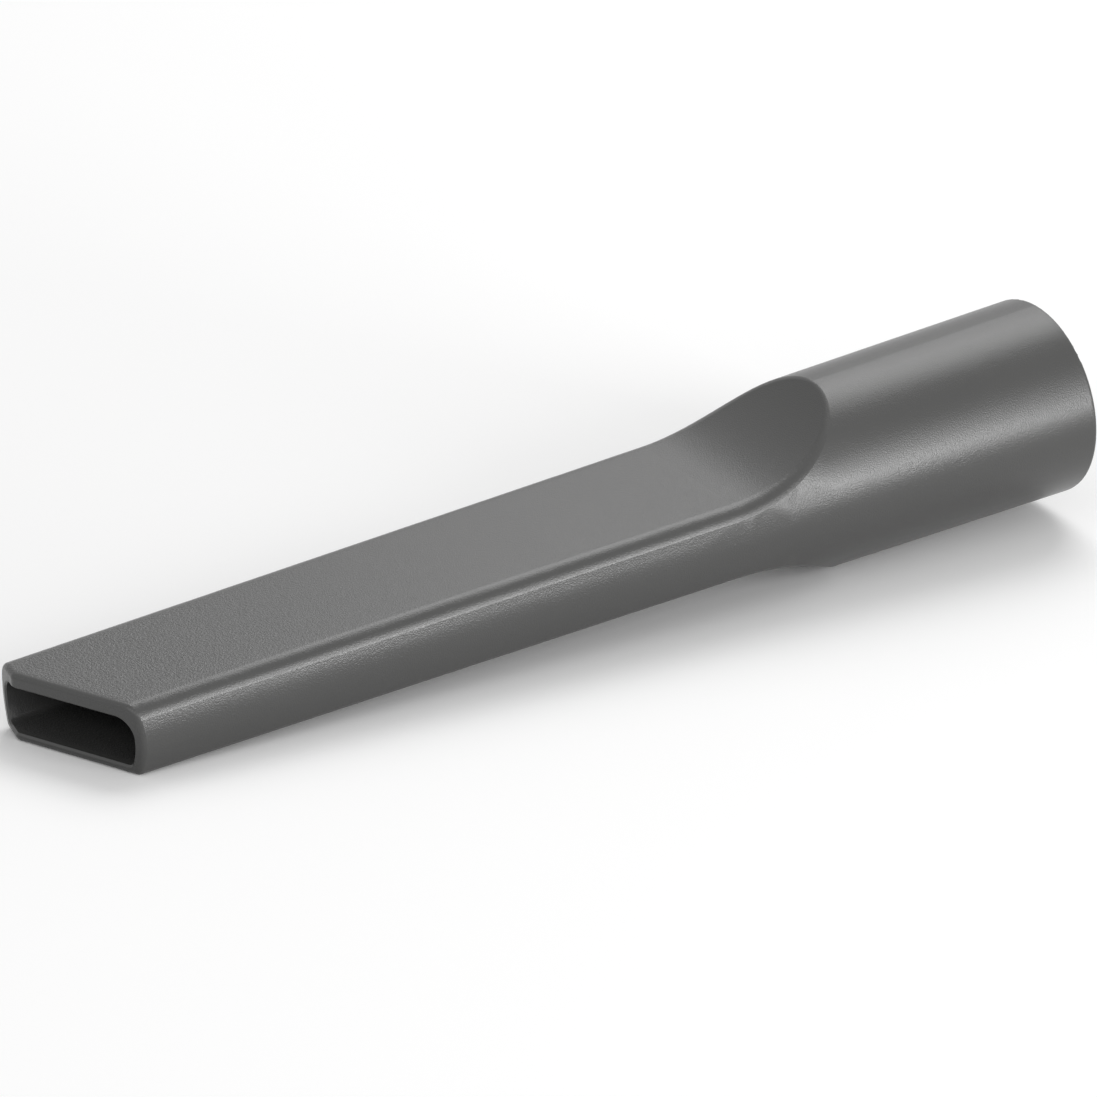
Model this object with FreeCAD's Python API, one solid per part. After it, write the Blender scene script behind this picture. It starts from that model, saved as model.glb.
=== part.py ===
import FreeCAD, Part
import math
import os

# Vacuum crevice tool, one hollow moulding, in millimetres.
# It is drawn level, with the socket's open end at the origin and the mouth toward -X, and then laid down.

# Socket, a plain tube for the end of a wand
bore_d = 34.8
socket_wall = 2.1
bore_depth = 38.0
bore_lead = 0.4
stop_height = 0.8
end_round = 0.8

# Body, one slim cone that the two faces are cut into
body_length = 220.5
body_tip_d = 33.0
side_wall = 2.0

# Flat faces of the nozzle, measured from the socket's axis
tip_top_z = 6.97
tip_bottom_z = 6.9
face_draft_deg = 0.23
top_wall = 2.9
bottom_wall = 1.7
shoulder_top_r = 3.3
shoulder_bottom_r = 1.6
duct_top_r = 3.7
duct_bottom_r = 1.2

# Scoops, the arcs that run from the flat faces up to the barrel
scoop_start_x = 81.4
scoop_r = 41.8
scoop_sweep_deg = 60.0
crest_r = 1.0

# Mouth, cut off aslant in plan with a blunt tip
slant_deg = 25.4
blunt_deg = 10.0
bend_y = 9.3
bend_r = 1.5
rim_r = 1.0
rim_inner_lead = 0.35

# Sizes that follow
tiny = 0.001
past = 10.0
reach = body_length
bore_r = bore_d / 2
socket_r = bore_r + socket_wall
tip_r = body_tip_d / 2
draft = math.radians(face_draft_deg)
slant = math.radians(slant_deg)
blunt = math.radians(blunt_deg)


def vec(x, y=0.0, z=0.0):
    return FreeCAD.Vector(x, y, z)


def line(start, end):
    return Part.LineSegment(start, end).toShape()


def turned(points, angle):
    """A turn about the X axis of a closed outline given in the XZ plane."""
    return Part.Face(Part.makePolygon(points + points[:1])).revolve(vec(0), vec(1), angle)


class Cone:
    """The slim cone, given by its radius at two places along the axis."""

    def __init__(self, start_x, start_r, end_x, end_r):
        self.slope = (end_r - start_r) / (end_x - start_x)
        self.origin_r = start_r - self.slope * start_x

    def radius(self, x):
        return self.origin_r + self.slope * x

    def half(self, start_x, end_x):
        start = vec(start_x, 0, self.radius(start_x))
        end = vec(end_x, 0, self.radius(end_x))
        return turned([vec(start_x), start, end, vec(end_x)], 180)

    def carries(self, edge):
        middle = edge.valueAt((edge.FirstParameter + edge.LastParameter) / 2)
        return abs(math.hypot(middle.y, middle.z) - self.radius(middle.x)) < tiny


class Scoop:
    """A flat face and the arc that leads from it up to the barrel; side is 1 above and -1 below."""

    def __init__(self, side, tip_z, wall):
        self.side = side
        self.centre_x = -scoop_start_x - scoop_r * math.sin(draft)
        root_z = tip_z + (body_length - scoop_start_x) * math.tan(draft)
        self.centre_z = root_z + scoop_r * math.cos(draft)
        self.r = scoop_r + wall

    def on_arc(self, angle):
        x = self.centre_x + self.r * math.sin(angle)
        return vec(x, reach, self.side * (self.centre_z - self.r * math.cos(angle)))

    def cutter(self):
        """Everything on the open side of the face and its arc, right across the body."""
        sweep = math.radians(scoop_sweep_deg)
        start = self.on_arc(draft)
        end = self.on_arc(sweep)
        mouth_x = -body_length - 2 * past
        mouth = vec(mouth_x, reach, start.z + self.side * (mouth_x - start.x) * math.tan(draft))
        far_z = self.side * 2 * reach
        outline = [
            line(mouth, start),
            Part.Arc(start, self.on_arc((draft + sweep) / 2), end).toShape(),
            line(end, vec(end.x, reach, far_z)),
            line(vec(end.x, reach, far_z), vec(mouth_x, reach, far_z)),
            line(vec(mouth_x, reach, far_z), mouth),
        ]
        return Part.Face(Part.Wire(outline)).extrude(vec(0, -2 * reach, 0))

    def edge_on(self, half, cone):
        """The curved edge between the arc and the cone."""
        for edge in half.Edges:
            middle = edge.valueAt((edge.FirstParameter + edge.LastParameter) / 2)
            on_scoop = middle.x > self.centre_x and self.side * middle.z > 0 and middle.y < -1
            if cone.carries(edge) and on_scoop and middle.x < -past:
                return edge
        raise ValueError("the scoop doesn't reach the barrel")

    def crest_x(self, cone):
        """Where the arc comes out on the barrel's crest, found by closing in on it."""
        x = -scoop_start_x / 2
        for _ in range(20):
            x = self.centre_x + math.sqrt(self.r**2 - (self.centre_z - cone.radius(x)) ** 2)
        return x


def flattened(cone, scoops, radii, start_x, end_x):
    """The cone with both faces cut in, and rounded edges whose radius runs into that of the crest."""
    half = cone.half(start_x, end_x)
    for scoop in scoops:
        half = half.cut(scoop.cutter())
    for scoop, radius in zip(scoops, radii):
        half = half.makeFillet(radius, crest_r, [scoop.edge_on(half, cone)])
    return half.fuse(half.mirror(vec(0), vec(0, 1, 0))).removeSplitter()


def mouth_cutter():
    """Everything past the mouth: a slanting cut, a rounded bend and a blunt tip on the far side."""
    toward_far = vec(-math.sin(slant), math.cos(slant))
    toward_tip = vec(math.sin(blunt), math.cos(blunt))
    bend = vec(-body_length, bend_y)
    setback = bend_r * math.tan((slant + blunt) / 2)
    before = bend - toward_far * setback
    after = bend + toward_tip * setback
    centre = before + vec(math.cos(slant), math.sin(slant)) * bend_r
    middle = (slant - blunt) / 2
    between = centre - vec(math.cos(middle), math.sin(middle)) * bend_r
    near_end = bend - toward_far * reach
    far_end = bend + toward_tip * reach
    back_x = -2 * reach
    outline = [
        line(near_end, before),
        Part.Arc(before, between, after).toShape(),
        line(after, far_end),
        line(far_end, vec(back_x, far_end.y)),
        line(vec(back_x, far_end.y), vec(back_x, near_end.y)),
        line(vec(back_x, near_end.y), near_end),
    ]
    return Part.Face(Part.Wire(outline)).extrude(vec(0, 0, 2 * reach)).translated(vec(0, 0, -reach))


def edges_between(shape, first, second):
    """Edges of the shape that lie on both of two others."""
    found = []
    for edge in shape.Edges:
        points = [Part.Vertex(point) for point in edge.discretize(5)]
        if all(point.distToShape(other)[0] < tiny for other in (first, second) for point in points):
            found.append(edge)
    return found


def circles_at(shape, x, radius):
    return [
        edge
        for edge in shape.Edges
        if isinstance(edge.Curve, Part.Circle)
        and abs(edge.Curve.Center.x - x) < tiny
        and abs(edge.Curve.Radius - radius) < tiny
    ]


def build_body():
    cone = Cone(0, socket_r, -body_length, tip_r)
    scoops = [Scoop(1, tip_top_z, 0), Scoop(-1, tip_bottom_z, 0)]
    outer = flattened(cone, scoops, (shoulder_top_r, shoulder_bottom_r), -body_length - past, 0)
    past_mouth = mouth_cutter()
    body = outer.cut(past_mouth)
    body = body.makeFillet(rim_r, edges_between(body, past_mouth, outer.Shells[0]))
    body = body.makeFillet(end_round, circles_at(body, 0, socket_r))

    duct_cone = Cone(-bore_depth, bore_r - stop_height, -body_length, tip_r - side_wall)
    duct_scoops = [Scoop(1, tip_top_z, top_wall), Scoop(-1, tip_bottom_z, bottom_wall)]
    duct_radii = (duct_top_r, duct_bottom_r)
    duct = flattened(duct_cone, duct_scoops, duct_radii, -body_length - 2 * past, -bore_depth)
    body = body.cut(duct)
    body = body.cut(Part.makeCylinder(bore_r, bore_depth + past, vec(-bore_depth), vec(1)))
    body = body.makeChamfer(bore_lead, circles_at(body, 0, bore_r))
    body = body.makeChamfer(rim_inner_lead, edges_between(body, past_mouth, duct.Shells[0]))
    return body


def resting_points():
    """Where the lower crest of the barrel and the mouth's lower edge touch the ground."""
    cone = Cone(0, socket_r, -body_length, tip_r)
    crest_x = Scoop(-1, tip_bottom_z, 0).crest_x(cone)
    points = [vec(crest_x, 0, -cone.radius(crest_x))]
    for y in (0, bend_y):
        x = (bend_y - y) * math.tan(slant) + rim_r / math.cos(slant)
        points.append(vec(x - body_length, y, -tip_bottom_z - x * math.tan(draft)))
    return points


def laid_down(body):
    """Rolled about X and then dipped about Y at the origin, so that the three resting points are level."""
    crest, middle, bend = resting_points()
    up = (bend - crest).cross(middle - crest)
    roll = math.atan2(up.y, up.z)
    dip = math.atan2(up.x, math.hypot(up.y, up.z))
    rolled = body.Solids[0].rotated(vec(0), vec(1), math.degrees(roll))
    return rolled.rotated(vec(0), vec(0, -1), math.degrees(dip))


if __name__ == "__main__":
    os.makedirs("parts", exist_ok=True)
    laid_down(build_body()).exportStep("parts/crevice_nozzle.step")
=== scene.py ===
"""Finish, stage and lights for the vacuum crevice tool, laid out as an add-on and run as a script."""

import math

import bpy
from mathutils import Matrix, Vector


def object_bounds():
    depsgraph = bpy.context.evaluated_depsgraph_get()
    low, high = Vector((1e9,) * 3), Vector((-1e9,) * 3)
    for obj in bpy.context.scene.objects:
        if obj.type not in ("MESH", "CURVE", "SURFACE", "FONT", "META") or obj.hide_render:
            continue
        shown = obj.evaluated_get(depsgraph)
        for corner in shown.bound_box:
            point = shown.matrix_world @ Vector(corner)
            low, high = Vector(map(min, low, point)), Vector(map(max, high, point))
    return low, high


bl_info = {
    "name": "Crevice tool finish",
    "version": (1, 0, 0),
    "blender": (4, 5, 0),
    "location": "3D View > Sidebar > Crevice Tool",
    "description": "Gives the moulded crevice tool its plastic and sets it on a lit studio floor",
    "category": "Object",
}

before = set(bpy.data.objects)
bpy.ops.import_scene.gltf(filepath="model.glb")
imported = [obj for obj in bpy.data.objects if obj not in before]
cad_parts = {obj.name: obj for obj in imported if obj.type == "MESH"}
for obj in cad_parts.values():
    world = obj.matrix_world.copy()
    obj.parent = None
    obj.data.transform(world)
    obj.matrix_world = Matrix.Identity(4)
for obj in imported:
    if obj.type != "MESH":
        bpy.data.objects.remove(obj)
CAD_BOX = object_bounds()
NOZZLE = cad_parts["crevice_nozzle"]
WHITE = (1.0, 1.0, 1.0, 1.0)

# Plane of the slanting mouth as the tool lies: its direction into the tool, and where it stands along that
MOUTH_NORMAL = (0.8999, 0.4287, 0.0799)
MOUTH_PLACE = -0.1952

# Where the grain is deep, each given by the place where it is still shallow and the one where it is full:
# along X toward the mouth's tip, in from either side toward the axis, and inward from the mouth's plane
DEEP_ALONG = (0.62 * CAD_BOX[0].x, CAD_BOX[0].x)
DEEP_ACROSS = (0.0145, 0.0115)
DEEP_PAST_MOUTH = (MOUTH_PLACE + 0.0006, MOUTH_PLACE + 0.002)

# Elsewhere the grain is shallow, and finer by this factor
PLAIN_FINENESS = 2.0

# Faint clouds that vary the tone and the gloss
CLOUDS_PER_METRE = 35.0
TONE_SPREAD = 0.06
ROUGHNESS_SPREAD = 0.02

PLASTIC_IOR = 1.5
FLOOR_WIDTH = 6.0
SENSOR_WIDTH = 36.0

# Lamps: name, azimuth from +X toward +Y and elevation in degrees, width and height in metres, radiance
SOFTBOX_DISTANCE = 1.3
SOFTBOXES = (
    ("rear_softbox", 37.5, 56.0, 0.84, 0.55, 3.8),
    ("low_rear_softbox", 45.0, 38.0, 0.85, 0.27, 1.8),
    ("left_softbox", 204.0, 34.0, 0.96, 0.4, 1.5),
    ("front_softbox", -66.0, 17.0, 0.5, 0.5, 4.8),
    ("low_front_softbox", -67.0, 4.0, 0.52, 0.24, 19.0),
    ("front_fill", -95.0, 27.0, 1.3, 0.5, 1.7),
)


class PlasticSettings(bpy.types.PropertyGroup):
    colour: bpy.props.FloatVectorProperty(
        name="Colour",
        description="Colour of the moulded plastic",
        default=(0.048, 0.048, 0.047),
        min=0.0,
        max=1.0,
        subtype="COLOR",
    )
    roughness: bpy.props.FloatProperty(
        name="Roughness",
        description="How matt the moulded skin is",
        default=0.3,
        min=0.0,
        max=1.0,
        subtype="FACTOR",
    )
    grain_size: bpy.props.FloatProperty(
        name="Grain size",
        description="Width of one grain of the mould's texture",
        default=0.0005,
        precision=5,
        unit="LENGTH",
    )
    grain_depth: bpy.props.FloatProperty(
        name="Grain depth",
        description="Height of the texture at the mouth",
        default=0.000125,
        precision=6,
        unit="LENGTH",
    )
    plain_depth: bpy.props.FloatProperty(
        name="Plain depth",
        description="Share of that height on the sides and the barrel",
        default=0.35,
        min=0.0,
        max=1.0,
        subtype="FACTOR",
    )


class StageSettings(bpy.types.PropertyGroup):
    azimuth: bpy.props.FloatProperty(
        name="Azimuth",
        description="Camera's turn from square-on",
        default=math.radians(-32.03),
        subtype="ANGLE",
    )
    elevation: bpy.props.FloatProperty(
        name="Elevation",
        description="Camera's height above the horizon",
        default=math.radians(24.0),
        subtype="ANGLE",
    )
    distance: bpy.props.FloatProperty(
        name="Distance",
        description="Camera's distance from its aim",
        default=1.1181,
        unit="LENGTH",
    )
    aim: bpy.props.FloatVectorProperty(
        name="Aim",
        description="Point at the picture's middle",
        default=(-0.1126, 0.0, -0.00626),
        subtype="TRANSLATION",
    )
    lens: bpy.props.FloatProperty(
        name="Lens",
        description="Focal length on a 36 mm wide sensor",
        default=196.9,
        unit="CAMERA",
    )
    floor_colour: bpy.props.FloatVectorProperty(
        name="Floor colour",
        description="Colour of the studio floor",
        default=(0.8, 0.8, 0.8),
        min=0.0,
        max=1.0,
        subtype="COLOR",
    )
    room_light: bpy.props.FloatProperty(
        name="Room light",
        description="Even light from all around",
        default=0.47,
        min=0.0,
    )


def emptied_material(name):
    material = bpy.data.materials.new(name)
    material.use_nodes = True
    material.node_tree.nodes.clear()
    return material, material.node_tree.nodes, material.node_tree.links


def scalar(nodes, links, operation, *values):
    """Math node on sockets or numbers; gives its output."""
    node = nodes.new("ShaderNodeMath")
    node.operation = operation
    for socket, value in zip(node.inputs, values):
        if isinstance(value, float):
            socket.default_value = value
        else:
            links.new(value, socket)
    return node.outputs["Value"]


def ramp(nodes, links, value, ends):
    """Smooth rise from 0 to 1 while the value goes from the first end to the second."""
    node = nodes.new("ShaderNodeMapRange")
    node.interpolation_type = "SMOOTHSTEP"
    links.new(value, node.inputs["Value"])
    node.inputs["From Min"].default_value, node.inputs["From Max"].default_value = ends
    return node.outputs["Result"]


def moulded_grain():
    """Node group for the mould's fine texture: its height and a faint change of tone.

    The texture is deepest on the flat faces near the mouth and stays shallow on the sides, the rim and the barrel.
    """
    group = bpy.data.node_groups.new("moulded_grain", "ShaderNodeTree")
    for name, in_out in (("Grain Size", "INPUT"), ("Plain Depth", "INPUT"), ("Height", "OUTPUT"), ("Tone", "OUTPUT")):
        group.interface.new_socket(name, in_out=in_out, socket_type="NodeSocketFloat")
    nodes, links = group.nodes, group.links
    inputs = nodes.new("NodeGroupInput").outputs
    outputs = nodes.new("NodeGroupOutput").inputs
    place = nodes.new("ShaderNodeTexCoord").outputs["Object"]

    axes = nodes.new("ShaderNodeSeparateXYZ")
    links.new(place, axes.inputs["Vector"])
    along_normal = nodes.new("ShaderNodeVectorMath")
    along_normal.operation = "DOT_PRODUCT"
    along_normal.inputs[1].default_value = MOUTH_NORMAL
    links.new(place, along_normal.inputs[0])
    near_mouth = ramp(nodes, links, axes.outputs["X"], DEEP_ALONG)
    on_face = ramp(nodes, links, scalar(nodes, links, "ABSOLUTE", axes.outputs["Y"]), DEEP_ACROSS)
    past_rim = ramp(nodes, links, along_normal.outputs["Value"], DEEP_PAST_MOUTH)
    deep = scalar(nodes, links, "MULTIPLY", scalar(nodes, links, "MULTIPLY", near_mouth, on_face), past_rim)

    def noise(detail):
        node = nodes.new("ShaderNodeTexNoise")
        node.inputs["Detail"].default_value = detail
        links.new(place, node.inputs["Vector"])
        return node

    def grained(share, fineness):
        """That share of a noise's height, with grains finer than the given size by that factor."""
        grain = noise(detail=1.0)
        links.new(scalar(nodes, links, "DIVIDE", fineness, inputs["Grain Size"]), grain.inputs["Scale"])
        return scalar(nodes, links, "MULTIPLY", grain.outputs["Fac"], share)

    height = scalar(nodes, links, "ADD", grained(deep, 1.0), grained(inputs["Plain Depth"], PLAIN_FINENESS))
    links.new(height, outputs["Height"])

    clouds = noise(detail=3.0)
    clouds.inputs["Scale"].default_value = CLOUDS_PER_METRE
    links.new(clouds.outputs["Fac"], outputs["Tone"])
    return group


def plastic_material(settings):
    """Dark grey plastic whose tone and gloss vary a little, with the mould's texture as its bump."""
    material, nodes, links = emptied_material("moulded_plastic")
    output = nodes.new("ShaderNodeOutputMaterial")
    shader = nodes.new("ShaderNodeBsdfPrincipled")
    shader.inputs["IOR"].default_value = PLASTIC_IOR
    grain = nodes.new("ShaderNodeGroup")
    grain.node_tree = moulded_grain()
    grain.inputs["Grain Size"].default_value = settings.grain_size
    grain.inputs["Plain Depth"].default_value = settings.plain_depth
    bump = nodes.new("ShaderNodeBump")
    bump.inputs["Strength"].default_value = 1.0
    bump.inputs["Distance"].default_value = settings.grain_depth
    tone = nodes.new("ShaderNodeMixRGB")
    for socket, factor in (("Color1", 1.0 - TONE_SPREAD), ("Color2", 1.0 + TONE_SPREAD)):
        tone.inputs[socket].default_value = (*(factor * c for c in settings.colour), 1.0)
    rough = nodes.new("ShaderNodeMapRange")
    rough.inputs["To Min"].default_value = settings.roughness - ROUGHNESS_SPREAD
    rough.inputs["To Max"].default_value = settings.roughness + ROUGHNESS_SPREAD
    links.new(grain.outputs["Tone"], tone.inputs["Fac"])
    links.new(grain.outputs["Tone"], rough.inputs["Value"])
    links.new(grain.outputs["Height"], bump.inputs["Height"])
    links.new(tone.outputs["Color"], shader.inputs["Base Color"])
    links.new(rough.outputs["Result"], shader.inputs["Roughness"])
    links.new(bump.outputs["Normal"], shader.inputs["Normal"])
    links.new(shader.outputs["BSDF"], output.inputs["Surface"])
    return material


def is_looked_at(nodes, links):
    """Light path test: 1 for camera rays and for what is seen in gloss or through glass, 0 for other light."""
    path = nodes.new("ShaderNodeLightPath").outputs
    seen = scalar(nodes, links, "MAXIMUM", path["Is Camera Ray"], path["Is Glossy Ray"])
    return scalar(nodes, links, "MAXIMUM", seen, path["Is Transmission Ray"])


def floor_material(settings):
    """A matt floor that looks white, shadows and all, and throws back less light than it seems to."""
    material, nodes, links = emptied_material("studio_floor")
    output = nodes.new("ShaderNodeOutputMaterial")
    shader = nodes.new("ShaderNodeBsdfPrincipled")
    colour = nodes.new("ShaderNodeMixRGB")
    colour.inputs["Color1"].default_value = (*settings.floor_colour, 1.0)
    colour.inputs["Color2"].default_value = WHITE
    links.new(is_looked_at(nodes, links), colour.inputs["Fac"])
    links.new(colour.outputs["Color"], shader.inputs["Base Color"])
    shader.inputs["Roughness"].default_value = 1.0
    shader.inputs["Specular IOR Level"].default_value = 0.0
    links.new(shader.outputs["BSDF"], output.inputs["Surface"])
    return material


def studio_world(room_light):
    """Even room light around the tool, which is white where it is looked at."""
    world = bpy.data.worlds.new("studio_world")
    world.use_nodes = True
    nodes, links = world.node_tree.nodes, world.node_tree.links
    nodes.clear()
    output = nodes.new("ShaderNodeOutputWorld")
    choose = nodes.new("ShaderNodeMixShader")
    links.new(is_looked_at(nodes, links), choose.inputs["Fac"])
    for socket, strength in ((choose.inputs[1], room_light), (choose.inputs[2], 1.0)):
        background = nodes.new("ShaderNodeBackground")
        background.inputs["Color"].default_value = WHITE
        background.inputs["Strength"].default_value = strength
        links.new(background.outputs["Background"], socket)
    links.new(choose.outputs["Shader"], output.inputs["Surface"])
    return world


def stand_facing(name, data, aim, azimuth, elevation, distance):
    """A lamp or camera that stands away from the aim and faces it; azimuth is turned from +X toward +Y."""
    across = math.cos(elevation)
    away = Vector((math.cos(azimuth) * across, math.sin(azimuth) * across, math.sin(elevation)))
    item = bpy.data.objects.new(name, data)
    item.location = aim + away * distance
    item.rotation_mode = "QUATERNION"
    item.rotation_quaternion = away.to_track_quat("Z", "Y")
    bpy.context.scene.collection.objects.link(item)
    return item


def softbox(name, aim, azimuth, elevation, width, height, radiance):
    """A rectangular lamp facing the aim, unseen by the camera; its angles are in degrees."""
    data = bpy.data.lights.new(name, "AREA")
    data.shape = "RECTANGLE"
    data.size = width
    data.size_y = height
    data.energy = radiance * math.pi * width * height
    lamp = stand_facing(name, data, aim, math.radians(azimuth), math.radians(elevation), SOFTBOX_DISTANCE)
    lamp.visible_camera = False


class OBJECT_OT_finish_nozzle(bpy.types.Operator):
    """Gives the moulded tool its grained plastic"""

    bl_idname = "object.finish_nozzle"
    bl_label = "Finish nozzle"

    def execute(self, context):
        bpy.ops.object.select_all(action="DESELECT")
        NOZZLE.select_set(True)
        context.view_layer.objects.active = NOZZLE
        NOZZLE.data.materials.clear()
        NOZZLE.data.materials.append(plastic_material(context.scene.crevice_plastic))
        return {"FINISHED"}


class SCENE_OT_build_stage(bpy.types.Operator):
    """Builds the floor, the room light, the softboxes and the camera"""

    bl_idname = "scene.build_stage"
    bl_label = "Build stage"

    def execute(self, context):
        scene = context.scene
        settings = scene.crevice_stage
        aim = Vector(settings.aim)

        bpy.ops.object.select_all(action="DESELECT")
        bpy.ops.mesh.primitive_plane_add(size=FLOOR_WIDTH, location=(aim.x, 0.0, CAD_BOX[0].z))
        floor = context.object
        floor.name = "studio_floor"
        floor.data.materials.append(floor_material(settings))
        bpy.ops.object.transform_apply(location=True, rotation=False, scale=False)

        scene.world = studio_world(settings.room_light)
        for name, azimuth, elevation, width, height, radiance in SOFTBOXES:
            softbox(name, aim, azimuth, elevation, width, height, radiance)

        data = bpy.data.cameras.new("camera")
        data.lens = settings.lens
        data.sensor_width = SENSOR_WIDTH
        square_on = -math.pi / 2
        turn = square_on + settings.azimuth
        scene.camera = stand_facing("camera", data, aim, turn, settings.elevation, settings.distance)
        scene.view_settings.view_transform = "Standard"
        return {"FINISHED"}


class VIEW3D_PT_crevice_tool(bpy.types.Panel):
    """Lists the steps and their sizes and colours"""

    bl_idname = "VIEW3D_PT_crevice_tool"
    bl_label = "Crevice Tool"
    bl_space_type = "VIEW_3D"
    bl_region_type = "UI"
    bl_category = "Crevice Tool"

    def draw(self, context):
        for settings in (context.scene.crevice_plastic, context.scene.crevice_stage):
            for name in settings.__annotations__:
                self.layout.prop(settings, name)
        for operator in OPERATORS:
            self.layout.operator(operator.bl_idname)


OPERATORS = (OBJECT_OT_finish_nozzle, SCENE_OT_build_stage)
CLASSES = (PlasticSettings, StageSettings, *OPERATORS, VIEW3D_PT_crevice_tool)


def register():
    for cls in CLASSES:
        bpy.utils.register_class(cls)
    bpy.types.Scene.crevice_plastic = bpy.props.PointerProperty(type=PlasticSettings)
    bpy.types.Scene.crevice_stage = bpy.props.PointerProperty(type=StageSettings)


def unregister():
    del bpy.types.Scene.crevice_stage
    del bpy.types.Scene.crevice_plastic
    for cls in reversed(CLASSES):
        bpy.utils.unregister_class(cls)


def main():
    register()
    bpy.ops.object.finish_nozzle()
    bpy.ops.scene.build_stage()


if __name__ == "__main__":
    main()
